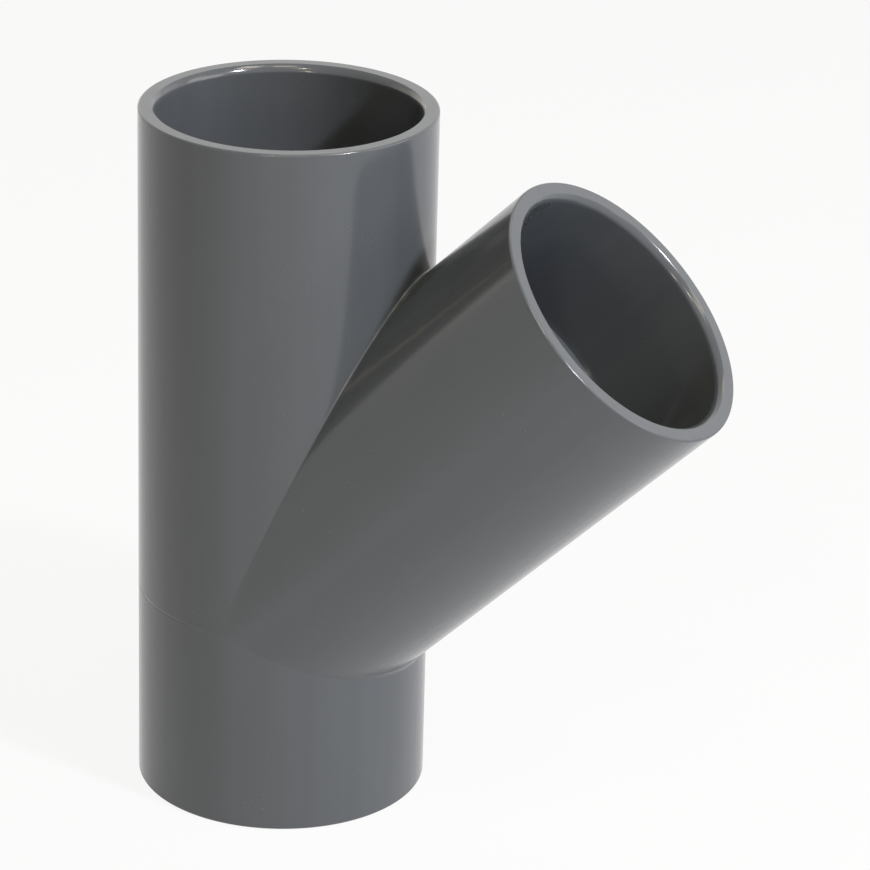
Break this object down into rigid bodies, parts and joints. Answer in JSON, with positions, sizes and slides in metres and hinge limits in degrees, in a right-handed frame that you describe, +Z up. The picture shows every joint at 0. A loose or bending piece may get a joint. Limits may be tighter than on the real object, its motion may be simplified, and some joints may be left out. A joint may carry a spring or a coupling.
{
  "type": "lateral wye pipe fitting",
  "caption": "Equal 45 degree lateral wye in dark grey plastic: a straight tube with a slanting branch of the same diameter and a plain cement socket in each mouth.",
  "frame": {"origin": "centre of the run's lower mouth, on its end face, where the fitting stands", "axes": "+Z up along the run to its upper mouth; +X to the side the branch leans to, so the branch axis lies in the XZ plane at 45 degrees to +Z"},
  "size_m": [0.2603, 0.126, 0.307],
  "materials": {
    "grey_plastic": "glossy moulded dark grey plastic, faintly mottled"
  },
  "bodies": {
    "root": {"wye_body": "grey_plastic"}
  },
  "joints": []
}
